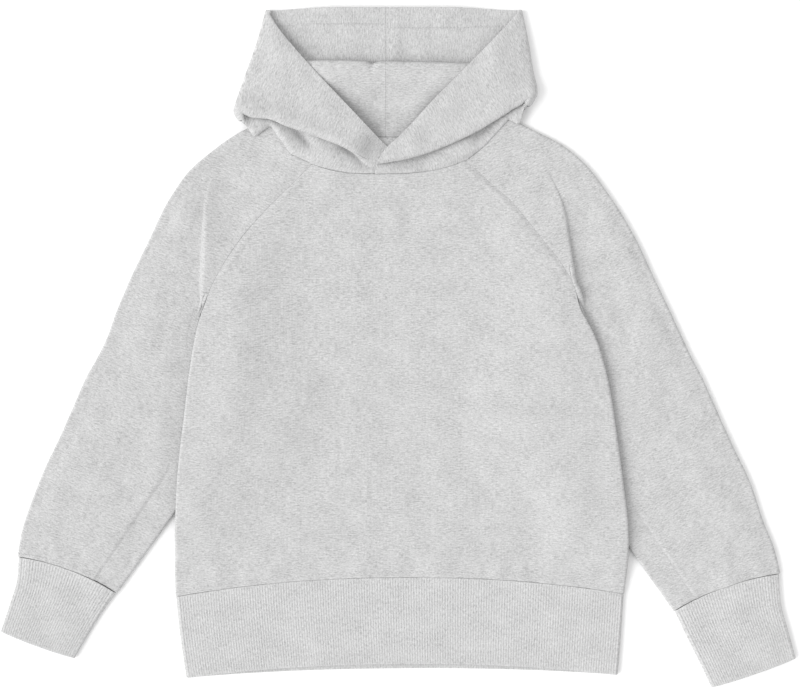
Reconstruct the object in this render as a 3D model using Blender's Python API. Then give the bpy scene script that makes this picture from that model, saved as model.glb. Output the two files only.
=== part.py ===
"""Child's raglan pullover hoodie, laid flat on its back, as cut and sewn pieces.

Every piece is a wall of cloth: a grid of points across its middle, given its thickness both ways.
The garment lies on z = 0 with the hood towards +Y. Tables are in millimetres, a row for each
section, and left and right are the viewer's.
"""
import bpy
import numpy as np

MM = 0.001
CLOTH = 2.0                     # sweatshirt fleece
RIB = 2.2                       # 1x1 rib of the hem band and cuffs
SEAM = 0.3                      # gap between neighbouring pieces
AIR = 0.6                       # soft cloth never lies quite flat on itself
LAYER = CLOTH + SEAM + AIR      # from the middle of one layer to the next
BEND = LAYER / 2                # radius of a folded edge, to the cloth's middle
BACK_Z = CLOTH / 2              # middle of the back layer
FRONT_Z = BACK_Z + LAYER        # middle of the front layer
STACK = 2 * LAYER + 0.4         # how far the body rises over a tucked sleeve
BODY_PUFF = 1.0                 # swell of the front above that
SLEEVE_PUFF = 1.2

SIDE_ROWS = 12
RAGLAN_ROWS = 9
SLEEVE_ROWS = 11
TUCK_RAMP = 24.0                # how softly the body climbs onto the sleeve
TUCK_CLEAR = 7.0                # and how far before the sleeve's edge it is up

# Side folds of the body, hem seam to underarm: x, y
SIDE = {
    "left": [(-191.5, -213.5), (-192, -183), (-191, -141), (-189, -105), (-184, -62), (-179, -20),
             (-173.5, 12), (-169, 30)],
    "right": [(194.2, -211), (196.5, -190), (197.5, -168), (191.6, -105), (185.6, -62), (179, -24),
              (168, 11), (157, 31.5)],
}
# Raglan seams on the front, underarm to neck: x, y
RAGLAN_FRONT = {
    "left": [(-169, 30), (-157, 58), (-139.5, 87), (-115, 116.5), (-91, 140.5), (-74, 158.5)],
    "right": [(157, 31.5), (148, 58), (136, 77), (120, 97), (101, 121), (76, 144), (58, 160)],
}
# Raglan seams on the back, underarm to neck: x, y
RAGLAN_BACK = {
    "left": [(-173.5, 12), (-162, 45), (-146, 82), (-126, 118), (-102, 157), (-84, 185)],
    "right": [(168, 11), (153, 45), (138, 82), (117, 118), (90, 157), (69, 187)],
}
# How the sleeve tucks under the body: y, |x| from which the body is lifted, by how much
TUCK = {
    "left": [(-184, 207, 0), (-146, 190, STACK), (-108, 161, STACK), (-80, 142, STACK),
             (-52, 135, STACK), (-29, 141, STACK), (-8, 150, STACK), (17, 158, STACK),
             (55, 156, STACK), (85, 155, 4.4), (120, 156, 1.8), (150, 158, 0)],
    "right": [(-210, 209, 0), (-172, 190, STACK), (-151, 176, STACK), (-109, 146, STACK),
              (-79, 126, STACK), (-53, 119, STACK), (-29, 130, STACK), (-8, 140, STACK),
              (18, 149, STACK), (55, 141, STACK), (85, 136, 4.4), (120, 132, 1.8), (150, 130, 0)],
}
# Sleeve over the raglan: the fold's edge and the outer (shoulder) fold at each station, neck to
# underarm: fold x, fold y, outer x, outer y, height of the fold's step
YOKE = {
    "left": [(-104, 178, -113, 193, 0), (-128, 164, -135, 185, 0), (-148, 155, -158, 170, 0),
             (-160, 144, -179, 152, 0), (-164.5, 127, -196, 128, 1.6), (-166, 99, -212, 96, 3.4),
             (-167.5, 62, -229, 61, STACK), (-169, 30, -242, 31, STACK)],
    "right": [(88, 187, 96, 196, 0), (108, 174, 119, 185, 0), (122, 160, 141, 173.5, 0),
              (132, 143, 161, 157, 0.3), (141, 121, 183, 128, 2.2), (146, 90, 204, 93, 4.0),
              (150.5, 60, 219, 61, STACK), (157, 31.5, 233, 32, STACK)],
}
# Sleeve below the underarm: inner edge x, y, outer edge x, y
SLEEVE = {
    "left": [(-167, 4, -251, 6), (-157, -12, -259, -10), (-146, -29, -268, -26), (-140, -52, -279, -51),
             (-148, -80, -291, -78), (-167, -108, -303, -103), (-191, -141, -315, -133),
             (-216, -176, -323, -157), (-241, -210.5, -327, -179)],
    "right": [(158, 4, 244, 8), (147, -12, 252, -9), (135, -29, 261, -26), (125, -53, 273, -53),
              (132, -79, 287, -84), (153, -109, 301, -113), (183, -151, 313, -148),
              (212, -192, 323, -173), (236, -226, 328, -193.5)],
}
# Rings of the cuffs, seam to edge: inner x, y, outer x, y
CUFF = {
    "left": [(-242, -212, -325.8, -181), (-254, -227, -327.5, -200), (-266.5, -247, -334.5, -223),
             (-278, -267, -341.5, -244)],
    "right": [(238, -228.5, 327.5, -195.5), (248.5, -250, 329, -221), (259.5, -272, 335, -243),
              (269, -292, 341.5, -267)],
}
# Rings of the hem band, seam to edge: left x, y, right x, y, front arch, back arch
HEM = [
    (-191, -214.5, 193.8, -212, 15, 15),
    (-188.5, -237, 192.2, -233, 14, 13),
    (-185.5, -260, 190.5, -257, 12.5, 10),
    (-182, -283.5, 188.5, -281, 10.5, 6.5),
]
HEM_ARCH = 15.0                 # how far the hem seam arches up in the middle
NECK_DIP = 9.5                  # how far the neck seam dips, at the front
BACK_NECK_DIP = 9.0


def spline(points, at):
    """Smooth curve through table rows, at a number of even stations or at the given shares."""
    points = np.array(points, float)
    steps = np.linalg.norm(np.diff(points[:, :2], axis=0), axis=1)
    knots = np.concatenate([[0], np.cumsum(steps)]) / steps.sum()
    slopes = np.gradient(points, knots, axis=0)
    at = np.linspace(0, 1, at) if np.ndim(at) == 0 else np.asarray(at)
    k = np.clip(np.searchsorted(knots, at) - 1, 0, len(knots) - 2)
    width = (knots[k + 1] - knots[k])[:, None]
    s = ((at - knots[k]) / width[:, 0])[:, None]
    return ((2 * s**3 - 3 * s**2 + 1) * points[k] + (s**3 - 2 * s**2 + s) * width * slopes[k]
            + (3 * s**2 - 2 * s**3) * points[k + 1] + (s**3 - s**2) * width * slopes[k + 1])


def smooth(value):
    """0 below 0, 1 above 1, and a soft step between."""
    value = np.clip(value, 0, 1)
    return value * value * (3 - 2 * value)


def lift(x, y):
    """Height by which the body rides over the tucked sleeve at (x, y)."""
    shares = []
    for side in ("left", "right"):
        tuck = np.array(TUCK[side], float)
        inner = np.interp(y, tuck[:, 0], tuck[:, 1])
        height = np.interp(y, tuck[:, 0], tuck[:, 2])
        shares.append(height * smooth((np.abs(x) - inner + TUCK_CLEAR) / TUCK_RAMP + 1))
    return np.where(np.asarray(x) < 0, *shares)


def front_height(x, y):
    """Middle of the front layer, before its puff."""
    return FRONT_Z + lift(x, y)


def direction(grid, axis, ring):
    """Unit direction of the grid along one axis, halfway between the spans either side."""
    span = np.roll(grid, -1, axis) - grid
    span /= np.linalg.norm(span, axis=2, keepdims=True)
    if ring:
        return span + np.roll(span, 1, axis)
    span = np.moveaxis(span, axis, 0)
    start, end = 1.5 * span[0] - 0.5 * span[1], 1.5 * span[-2] - 0.5 * span[-3]
    middle = span[:-2] + span[1:-1]
    return np.moveaxis(np.concatenate([[start], middle, [end]]), 0, axis)


def cloth(name, grid, thickness, colour, ring=False):
    """A closed wall round a grid of middle points (rows, columns, xyz in mm)."""
    grid = np.asarray(grid, float)
    rows, columns, _ = grid.shape
    normal = np.cross(direction(grid, 1, ring), direction(grid, 0, False))
    normal /= np.linalg.norm(normal, axis=2, keepdims=True)
    half = thickness / 2
    points = np.concatenate([(grid + normal * half).reshape(-1, 3), (grid - normal * half).reshape(-1, 3)])
    layer = rows * columns
    spans = columns if ring else columns - 1
    faces = []
    for r in range(rows - 1):
        for c in range(spans):
            a, b = r * columns + c, r * columns + (c + 1) % columns
            faces.append((a, b, b + columns, a + columns))
            faces.append((layer + a, layer + a + columns, layer + b + columns, layer + b))
    for c in range(spans):
        a, b = c, (c + 1) % columns
        faces.append((a, layer + a, layer + b, b))
        a, b = a + layer - columns, b + layer - columns
        faces.append((a, b, layer + b, layer + a))
    if not ring:
        for r in range(rows - 1):
            a, b = r * columns, (r + 1) * columns
            faces.append((a, b, layer + b, layer + a))
            a, b = a + columns - 1, b + columns - 1
            faces.append((a, layer + a, layer + b, b))
    mesh = bpy.data.meshes.new(name)
    mesh.from_pydata((points * MM).tolist(), [], faces)
    mesh.update()
    mesh.shade_smooth()
    piece = bpy.data.objects.new(name, mesh)
    bpy.context.collection.objects.link(piece)
    material = bpy.data.materials.new(name)
    material.use_nodes = True
    shader = material.node_tree.nodes["Principled BSDF"]
    shader.inputs["Base Color"].default_value = (*colour, 1.0)
    shader.inputs["Roughness"].default_value = 0.95
    mesh.materials.append(material)
    return piece


def mix(start, end, amount):
    """Points between two points, one for each amount."""
    amount = np.asarray(amount, float)[:, None]
    return np.asarray(start) * (1 - amount) + np.asarray(end) * amount


# ---- body -------------------------------------------------------------------------------

ACROSS = np.sin(np.linspace(-1, 1, 15) * np.pi / 2)     # columns, closer together at the sides
RIM = np.radians([54, 30])                              # columns round the side fold


def body_panel(edges, neck_dip, hem_arch, sense):
    """Rows of a body panel between its two edges; `sense` is -1 if its sides turn down, 1 if up."""
    left, right = edges
    width = np.linalg.norm(right - left, axis=1, keepdims=True)
    out = (right - left) / width
    a, b = left + out * BEND, right - out * BEND
    flat = np.stack([mix(p, q, (ACROSS + 1) / 2) for p, q in zip(a, b)])
    v = np.linspace(0, 1, len(left))[:, None]
    flat[:, :, 1] += hem_arch * (1 - np.abs(ACROSS) ** 2.2) * (1 - v) ** 2
    flat[:, :, 1] -= neck_dip * (1 - np.abs(ACROSS) ** 3) * v ** 3
    turn_left = np.stack([a - out * BEND * np.cos(t) for t in RIM[::-1]], 1)
    turn_right = np.stack([b + out * BEND * np.cos(t) for t in RIM], 1)
    plan = np.concatenate([turn_left, flat, turn_right], 1)
    turn = np.zeros(plan.shape[1])
    turn[-len(RIM):] = BEND * (1 - np.sin(RIM))
    turn[:len(RIM)] = turn[-len(RIM):][::-1]
    fold = 1 - smooth((np.arange(len(left)) - SIDE_ROWS + 3) / 3.0)[:, None]
    return plan, sense * turn * fold


def edge_of(side, seam, inset):
    """One edge of a body panel, hem to neck, its seam end pulled in by half a gap."""
    sign = -1 if side == "left" else 1
    reach = [p for p in SIDE[side] if p[1] <= seam[side][0][1]]
    fold = spline(reach, SIDE_ROWS)
    fold[:, 0] -= sign * inset
    raglan = spline(seam[side], RAGLAN_ROWS)[1:]
    raglan[:, 0] -= sign * SEAM / 2
    return np.concatenate([fold, raglan])


def build_body():
    """Front and back panels, each a single wall, meeting at the rounded side folds."""
    sides = ("left", "right")
    front, turn = body_panel([edge_of(s, RAGLAN_FRONT, CLOTH / 2) for s in sides], NECK_DIP, HEM_ARCH, -1)
    x, y = front[:, :, 0], front[:, :, 1]
    puff = BODY_PUFF * (1 - np.abs(np.concatenate([[-1, -1], ACROSS, [1, 1]])) ** 8)
    cloth("body_front", np.dstack([front, front_height(x, y) + puff + turn]), CLOTH, (0.66, 0.66, 0.67))
    back, turn = body_panel([edge_of(s, RAGLAN_BACK, CLOTH / 2) for s in sides], BACK_NECK_DIP, HEM_ARCH, 1)
    x, y = back[:, :, 0], back[:, :, 1]
    low = smooth((60 - y) / 28)
    cloth("body_back", np.dstack([back, BACK_Z + low * lift(x, y) + turn]), CLOTH, (0.60, 0.60, 0.61))


# ---- sleeves ----------------------------------------------------------------------------

YOKE_COLUMNS = 3
OUT_COLUMNS = 5
TURN = np.radians([54, 18, -18, -54])                   # columns round the outer fold
UNDER = np.linspace(0, 1, 5)
MIN_YOKE = 3.2                                          # least width of sleeve left above the fold
# The step of the fold: distance out from its edge, share of the height still left
STEP = [(-0.9, 0.95), (0.0, 0.68), (0.1, 0.30), (1.8, 0.04)]


def body_edge(x, y):
    """|x| of the body's side fold at height y, on the side that x is on."""
    sides = [np.array(SIDE[name]) for name in ("left", "right")]
    left, right = (np.interp(y, s[:, 1], np.abs(s[:, 0])) for s in sides)
    return np.where(x < 0, left, right)


def sleeve_section(start, fold, outer, back, step, covered):
    """Over the front, down the fold's step, round the outer fold and back underneath."""
    out = (outer - start) / np.linalg.norm(outer - start)
    if np.linalg.norm(fold - start) < MIN_YOKE:
        fold = start + out * MIN_YOKE
    out = (outer - fold) / np.linalg.norm(outer - fold)
    rim = outer - out * (BEND + CLOTH / 2)
    shy = min(2.2, 0.5 * np.linalg.norm(fold - start))
    points = []
    for p in mix(start, fold - out * shy, np.linspace(0, 1, YOKE_COLUMNS)):
        points.append((*p, FRONT_Z + (0 if covered else lift(*p))))
    for shift, share in STEP:
        points.append((*(fold + out * shift * shy / 2.2), FRONT_Z + share * step))
    for p in mix(fold + out * STEP[-1][0], rim, np.linspace(0, 1, OUT_COLUMNS)[1:]):
        clear = smooth((abs(p[0]) - body_edge(*p)) / 22) * smooth(np.linalg.norm(p - rim) / 18)
        points.append((*p, FRONT_Z + SLEEVE_PUFF * clear))
    middle = BACK_Z + BEND
    for angle in TURN:
        points.append((*(rim + out * BEND * np.cos(angle)), middle + BEND * np.sin(angle)))
    for p in mix(rim, back, UNDER):
        points.append((*p, BACK_Z))
    return points


def build_sleeve(side):
    """A raglan sleeve, one cut piece, from the neck to the cuff seam."""
    sign = -1 if side == "left" else 1
    front = spline(RAGLAN_FRONT[side], RAGLAN_ROWS)[::-1]
    rear = spline(RAGLAN_BACK[side], RAGLAN_ROWS)[::-1]
    front[:, 0] += sign * SEAM / 2
    rear[:, 0] += sign * SEAM / 2
    yoke = spline(YOKE[side], RAGLAN_ROWS)
    sections = [sleeve_section(front[k], yoke[k, :2], yoke[k, 2:4], rear[k], yoke[k, 4], False)
                for k in range(RAGLAN_ROWS - 1)]
    tube = [(*front[-1], *yoke[-1, 2:4], *rear[-1])]
    tube[0] = (front[-1, 0] + sign * 1.5, *tube[0][1:])
    tube += [(*row, *row[:2]) for row in spline(SLEEVE[side], SLEEVE_ROWS)]
    for k, row in enumerate(np.array(tube)):
        inner, outer, under = row[:2], row[2:4], row[4:]
        fold = mix(inner, outer, [min(0.06 + 0.06 * k, 0.2)])[0]
        sections.append(sleeve_section(inner, fold, outer, under, 0.0, True))
    grid = np.array(sections)
    if side == "left":
        grid = grid[:, ::-1]
    cloth("sleeve_" + side, grid, CLOTH, (0.63, 0.64, 0.65))


# ---- hood -------------------------------------------------------------------------------

# Where the hood leaves the neck seam and where it slouches over itself, front edge to outer fold:
# neck x, neck y, fold x, fold y
HOOD_NECK = {
    "left": [(4, 151, 4, 161), (-20, 152, -20, 160), (-46, 153, -48, 173.5), (-76, 161.5, -77, 184.5),
             (-94, 173.5, -97, 191), (-110, 191, -113, 197), (-124, 182, -127, 198.5),
             (-131, 189, -132.5, 200.5), (-134.4, 195, -136.4, 205)],
    "right": [(-20, 152, -18.5, 158), (8, 151.2, 12, 164), (34, 153.5, 42, 175), (57, 162, 68, 187.5),
              (74, 177, 84, 197), (89, 194, 95, 203.5), (102, 193, 105, 208.5), (108, 202, 110, 212),
              (111.4, 207, 114.4, 215)],
}
# The hood's opening edge from the crossing to the top corner: x, y
HOOD_EDGE = {
    "left": [(4, 161), (-10.6, 174), (-48.8, 213), (-78.7, 245.5), (-104, 278), (-108, 289.5)],
    "right": [(-18.5, 158), (-10.6, 170), (-0.3, 179.5), (33, 215), (63, 243), (95, 278), (101, 289.5)],
}
# Its outer fold from the tail to the top corner: x, y
HOOD_FOLD = {
    "left": [(-139.5, 197), (-141.5, 206), (-132.7, 230), (-121.5, 262), (-114, 289.5)],
    "right": [(116.5, 208), (119.5, 217), (116.5, 235), (112, 262), (106.5, 289.5)],
}
HOOD_CENTRE = -10.6             # the centre-back seam
HOOD_FOOT = 181.0               # where it leaves the back neck
HOOD_TOP = 292.0
HOOD_PLEAT = 5.0                # step of the pleat across the inside
# Rows up the hood, as shares of the way up the back, closer together where it is pleated
HOOD_ROWS = [0, 0.02, 0.045, 0.06, 0.075, 0.13, 0.22, 0.33, 0.44, 0.535, 0.552, 0.568, 0.60, 0.70, 0.85, 1]
PLEAT_SHARE = np.interp(HOOD_ROWS, [0, 0.25, 0.535, 0.552, 0.568, 0.60, 1], [0, 0.35, 1, 0.85, 0.15, 0, 0])
FLAP_START = 4                  # row on which the flap proper begins
FLAP_LEAST = 3.5                # what is left of the flap at the top corner
# The rows below it, up from the neck seam: height, way to the slouch, that at the outer fold, and
# how much higher the row lies over the shoulder
STAND = [(4.6, 0.0, 0.0, 2.4), (7.6, 0.55, 0.25, 1.0), (7.2, 1.12, 0.5, 0.5), (8.8, 1.03, 0.75, 0.3)]
NECK_GAP = 0.8                  # coarse facets on a curved seam need a little more room
FLAP_COLUMNS = 9
LINING_COLUMNS = 8


def flap_height(v, u):
    """Middle of the flap: highest over its slouch, lower towards the crown."""
    return 12.2 - 6.2 * v**1.3 - 3.0 * u**4 * (1 - v)


def crossing(side, x, y, z):
    """Where the two sides cross, the left lies flat and the right passes over it."""
    if side == "left":
        return z + (5.0 - z) * smooth((46 - np.hypot(x + 2, y - 154)) / 24)
    return z + 3.4 * smooth((26 - x) / 16) * smooth((190 - y) / 14)


def build_hood(side):
    """One side of the hood: from its opening edge over the front, round the fold, to the back seam."""
    sign = -1 if side == "left" else 1
    shares = np.array(HOOD_ROWS)
    v = np.clip((shares - shares[FLAP_START]) / (1 - shares[FLAP_START]), 0, 1)
    neck = spline(HOOD_NECK[side], FLAP_COLUMNS)
    edge = spline(HOOD_EDGE[side], v)
    outer = spline(HOOD_FOLD[side], shares)
    u = np.linspace(0, 1, FLAP_COLUMNS)
    bow = neck[:, 2:] - mix(neck[0, 2:], neck[-1, 2:], u)
    flat = smooth((46 - np.hypot(neck[:, 0] + 2, neck[:, 1] - 154)) / 24) * (side == "left")
    settled = np.maximum(smooth((u - 0.7) / 0.3), flat)
    grid = []
    for row, share in enumerate(shares):
        top = flap_height(v[row], u)
        radius = (top[-1] - BACK_Z) / 2
        rim_x = outer[row, 0] - sign * (radius + CLOTH / 2)
        if row < FLAP_START:
            low, inside, outside, shoulder = STAND[row]
            climb = (inside + (outside - inside) * settled)[:, None]
            plan = neck[:, :2] + (neck[:, 2:] - neck[:, :2]) * climb
            plan[:, 1] += NECK_GAP * (1 - smooth((u - 0.7) / 0.3)) * (row == 0)
            plan[-1, 0] = rim_x
            low = low + shoulder * smooth((u - 0.5) / 0.2)
            top = low + (top - low) * smooth((u - 0.7) / 0.3)
        else:
            brink = (sign * min(sign * edge[row, 0], sign * rim_x - FLAP_LEAST), edge[row, 1])
            plan = mix(brink, (rim_x, outer[row, 1]), u) + bow * (1 - v[row]) ** 2
        height = crossing(side, plan[:, 0], plan[:, 1], top)
        points = [(*p, z) for p, z in zip(plan, height)]
        middle = BACK_Z + radius
        y_rim = plan[-1, 1]
        for angle in TURN:
            points.append((rim_x + sign * radius * np.cos(angle), y_rim, middle + radius * np.sin(angle)))
        foot = np.array([HOOD_CENTRE + sign * SEAM / 2, HOOD_FOOT + share * (HOOD_TOP - HOOD_FOOT)])
        for w in np.linspace(0, 1, LINING_COLUMNS):
            x = rim_x + (foot[0] - rim_x) * w
            y = y_rim + (foot[1] - y_rim) * smooth(w * 1.15)
            points.append((x, y, BACK_Z + HOOD_PLEAT * PLEAT_SHARE[row] * smooth(w * 2.2 - 0.3)))
        grid.append(points)
    grid = np.array(grid)
    if side == "left":
        grid = grid[:, ::-1]
    cloth("hood_" + side, grid, CLOTH, (0.62, 0.62, 0.63))


# ---- rib rings --------------------------------------------------------------------------

def ring_section(left, right, front_arch, back_arch, columns):
    """A flattened ring of rib: front layer left to right, back layer right to left."""
    left, right = np.array(left), np.array(right)
    out = (right - left) / np.linalg.norm(right - left)
    up = np.array([-out[1], out[0]])
    radius = BEND
    middle = RIB / 2 + BEND
    a, b = left + out * (radius + RIB / 2), right - out * (radius + RIB / 2)
    u = np.linspace(0, 1, columns)
    arch = 1 - np.abs(2 * u - 1) ** 2.2
    front = mix(a, b, u) + np.outer(arch * front_arch, up)
    back = (mix(a, b, u) + np.outer(arch * back_arch, up))[::-1]
    points = [(*p, middle + radius) for p in front]
    for angle in np.radians([54, 18, -18, -54]):
        points.append((*(b + out * radius * np.cos(angle)), middle + radius * np.sin(angle)))
    points += [(*p, middle - radius) for p in back]
    for angle in np.radians([-54, -18, 18, 54]):
        points.append((*(a - out * radius * np.cos(angle)), middle + radius * np.sin(angle)))
    return points


def build_ribs():
    """Hem band and cuffs."""
    hem = [ring_section(r[:2], r[2:4], r[4], r[5], 15) for r in spline(HEM, 5)]
    cloth("hem_band", np.array(hem)[::-1], RIB, (0.55, 0.56, 0.58), ring=True)
    for side in ("left", "right"):
        rows = []
        for r in spline(CUFF[side], 5):
            inner, outer = r[:2], r[2:4]
            ends = (outer, inner) if side == "left" else (inner, outer)
            rows.append(ring_section(*ends, 0.0, 0.0, 7))
        cloth("cuff_" + side, np.array(rows)[::-1], RIB, (0.55, 0.56, 0.58), ring=True)


def main():
    """Clear the scene and sew the garment."""
    for item in list(bpy.data.objects):
        bpy.data.objects.remove(item, do_unlink=True)
    build_body()
    for side in ("left", "right"):
        build_sleeve(side)
        build_hood(side)
    build_ribs()


main()
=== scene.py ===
# %% [markdown]
# # A child's pullover hoodie, laid flat
# A raglan pullover in heather grey sweatshirt fleece lies on its back, with its hood up and crossed
# over at the throat. It is cut from few pieces: a front, a back, two sleeves, two hood sides, and rib
# for the hem and cuffs. Each is made here the way a tailor thinks of it: a sheet with a length and a
# width, given by a grid of points through the middle of its cloth, laid over the layers beneath it.
# All sizes are in millimetres until the last step, and left and right are the viewer's.

import bpy
import numpy as np
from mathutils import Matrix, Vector


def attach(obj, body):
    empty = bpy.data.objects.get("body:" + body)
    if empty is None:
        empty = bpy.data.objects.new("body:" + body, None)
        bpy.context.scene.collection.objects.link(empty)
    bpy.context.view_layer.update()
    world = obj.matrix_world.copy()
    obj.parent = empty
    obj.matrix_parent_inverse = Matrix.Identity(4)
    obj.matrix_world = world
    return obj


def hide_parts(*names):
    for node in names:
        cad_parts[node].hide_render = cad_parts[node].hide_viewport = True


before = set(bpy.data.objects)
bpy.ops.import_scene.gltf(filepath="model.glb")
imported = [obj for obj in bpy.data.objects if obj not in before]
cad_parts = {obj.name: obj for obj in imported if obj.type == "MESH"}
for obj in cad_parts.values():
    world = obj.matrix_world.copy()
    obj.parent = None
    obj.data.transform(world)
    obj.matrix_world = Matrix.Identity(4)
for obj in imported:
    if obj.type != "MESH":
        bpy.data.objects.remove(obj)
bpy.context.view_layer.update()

# %% [markdown]
# ## Camera, floor and light
# Flat garments are shot from straight above with a long lens, on white, under one large soft lamp
# and a bright room. The lamp stands towards the upper left, so soft shadows fall to the right.

# %% Camera, floor and light
MM = 0.001
LENS, SENSOR = 100.0, 36.0               # a portrait lens keeps the edges of the garment upright
VIEW_WIDTH = 688 * MM                    # how much of the floor is in view
CAMERA_OVER = (1.5 * MM, 1.7 * MM)
LAMP_FROM = (-0.84, -0.20, 0.60)         # the lamp's direction seen from the garment
LAMP_SPREAD = 44.0                       # degrees of sky that the soft lamp fills
LAMP_STRENGTH, ROOM_STRENGTH = 2.3, 0.95


def linear(code):
    """An sRGB hex colour as linear light."""
    value = np.array([int(code[i:i + 2], 16) / 255 for i in (1, 3, 5)])
    return (*np.where(value <= 0.04045, value / 12.92, ((value + 0.055) / 1.055) ** 2.4), 1.0)


def place_camera():
    """Looking straight down, high enough for the lens to span VIEW_WIDTH."""
    lens = bpy.data.cameras.new("camera")
    lens.lens, lens.sensor_width = LENS, SENSOR
    camera = bpy.data.objects.new("camera", lens)
    camera.location = (*CAMERA_OVER, VIEW_WIDTH * LENS / SENSOR)
    bpy.context.collection.objects.link(camera)
    bpy.context.scene.camera = camera


def place_lamp():
    """A wide sun gives the even, soft-edged light of a big softbox."""
    sun = bpy.data.lights.new("softbox", "SUN")
    sun.energy, sun.angle = LAMP_STRENGTH, np.radians(LAMP_SPREAD)
    lamp = bpy.data.objects.new("softbox", sun)
    direction = -Vector(LAMP_FROM)
    lamp.rotation_mode = "QUATERNION"
    lamp.rotation_quaternion = direction.to_track_quat("-Z", "Y")
    bpy.context.collection.objects.link(lamp)
    world = bpy.data.worlds.new("white room")
    world.use_nodes = True
    world.node_tree.nodes["Background"].inputs["Color"].default_value = (1, 1, 1, 1)
    world.node_tree.nodes["Background"].inputs["Strength"].default_value = ROOM_STRENGTH
    bpy.context.scene.world = world


place_camera()
place_lamp()
bpy.context.scene.view_settings.view_transform = "Standard"
print("camera at", [round(x, 3) for x in bpy.context.scene.camera.location])

# %% [markdown]
# ## Helpers for cloth
# Real cut edges run in smooth curves, so every table of points is read through one kind of curve.
# Edges need close rows to look rolled and soft, while the middle of a panel needs few.

# %% Curves and spacing
EDGE_ROWS = np.array([0, 0.2, 0.55, 1.0, 1.6, 2.4, 3.4, 4.6])   # distances of rows from a cut edge


def smooth(value):
    """0 below 0, 1 above 1, and a soft step between."""
    value = np.clip(value, 0, 1)
    return value * value * (3 - 2 * value)


def cubic(points, knots, at):
    """Between two knots, the cubic that leaves and reaches them at their neighbours' slope."""
    slopes = np.gradient(points, knots, axis=0)
    at = np.asarray(at, float)
    k = np.clip(np.searchsorted(knots, at) - 1, 0, len(knots) - 2)
    shape = (-1,) + (1,) * (points.ndim - 1)
    width = (knots[k + 1] - knots[k]).reshape(shape)
    s = (at - knots[k]).reshape(shape) / width
    return ((2 * s**3 - 3 * s**2 + 1) * points[k] + (s**3 - 2 * s**2 + s) * width * slopes[k]
            + (3 * s**2 - 2 * s**3) * points[k + 1] + (s**3 - s**2) * width * slopes[k + 1])


def spline(table, at):
    """Smooth curve through a table's rows, read at shares of its length in the plan."""
    table = np.array(table, float)
    steps = np.linalg.norm(np.diff(table[:, :2], axis=0), axis=1)
    return cubic(table, np.concatenate([[0], np.cumsum(steps)]) / steps.sum(), at)


def stations(count, length, start=True, end=True):
    """Shares of a length: EDGE_ROWS at each cut end, and even steps between."""
    head = (EDGE_ROWS if start else EDGE_ROWS[:1]) / length
    tail = 1 - (EDGE_ROWS if end else EDGE_ROWS[:1])[::-1] / length
    middle = np.linspace(head[-1], tail[0], count - len(head) - len(tail) + 2)[1:-1]
    return np.concatenate([head, middle, tail])


def between(a, b, shares):
    """Points between two edges: a row for each pair, a column for each share."""
    shares = np.asarray(shares)[None, :, None]
    return a[:, None] * (1 - shares) + b[:, None] * shares


def unit(vectors):
    """The same directions, one long."""
    return vectors / np.linalg.norm(vectors, axis=-1, keepdims=True)


print("rows beside a cut edge, in millimetres:", EDGE_ROWS)

# %% [markdown]
# ## Creases
# Cloth that has been worn and smoothed by hand keeps shallow troughs and ridges. They start at the
# seams, run uneven ways and fade out. Each is one row of a table; the finest
# unevenness, too small to place, is a sum of waves.

# %% Creases and unevenness
CREASE_BOW = 0.10                        # how far a crease bends, in its own lengths


def creases(x, y, table):
    """Height of soft folds: a bell across each, fading to nothing at both of its ends.
    Columns: x, y of its middle, heading in degrees, length, width, height (below 0 is a trough)."""
    total = np.zeros_like(x)
    for middle_x, middle_y, heading, length, width, height in table:
        cos, sin = np.cos(np.radians(heading)), np.sin(np.radians(heading))
        along = (x - middle_x) * cos + (y - middle_y) * sin
        across = (y - middle_y) * cos - (x - middle_x) * sin + CREASE_BOW * along**2 / length
        fade = np.clip(1 - (2 * along / length) ** 2, 0, 1) ** 2
        total += height * np.exp(-(2 * across / width) ** 2) * fade
    return total


def waves(x, y, size, seed):
    """Unevenness about one high: twenty cosines of mixed length and heading, added up."""
    rng = np.random.default_rng(seed)
    total = np.zeros_like(x)
    for _ in range(20):
        heading, phase = rng.uniform(0, np.pi), rng.uniform(0, 2 * np.pi)
        length = size * rng.uniform(0.6, 1.8)
        total += np.cos(2 * np.pi * (x * np.cos(heading) + y * np.sin(heading)) / length + phase)
    return total / np.sqrt(20)


def puckers(start, end, heading, gap, seed):
    """Rows for `creases`: little gathers from start to end of a seam, about `gap` apart, turn about
    raised and sunk, heading away from it."""
    rng = np.random.default_rng(seed)
    start, end = np.array(start, float), np.array(end, float)
    span = np.linalg.norm(end - start)
    at = np.cumsum(gap * rng.uniform(0.55, 1.6, int(2 * span / gap)))
    at = at[at < span]
    up = np.array([np.cos(np.radians(heading)), np.sin(np.radians(heading))])
    rows = []
    for k, share in enumerate(at / span):
        length = gap * rng.uniform(1.8, 4.2)
        middle = start + (end - start) * share + up * length * 0.28
        height = (0.55 if k % 2 else -0.5) * rng.uniform(0.4, 1.2)
        rows.append((*middle, heading + rng.uniform(-16, 16), length, gap * rng.uniform(0.6, 1.1), height))
    return rows


sample = waves(*np.mgrid[0:400:5.0, 0:400:5.0], 40, 1)
print("waves over 400 mm of cloth lie between", sample.min().round(1), "and", sample.max().round(1))

# %% [markdown]
# ## From a sheet to a wall of cloth
# Fleece is about 2 mm thick. A grid of points through its middle is moved half of that each way, and
# the two faces are closed round the edges. Near an edge the wall thins to a round rim and rolls
# inwards, as cloth does where it is sewn, which draws each seam as a fine groove.

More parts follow.
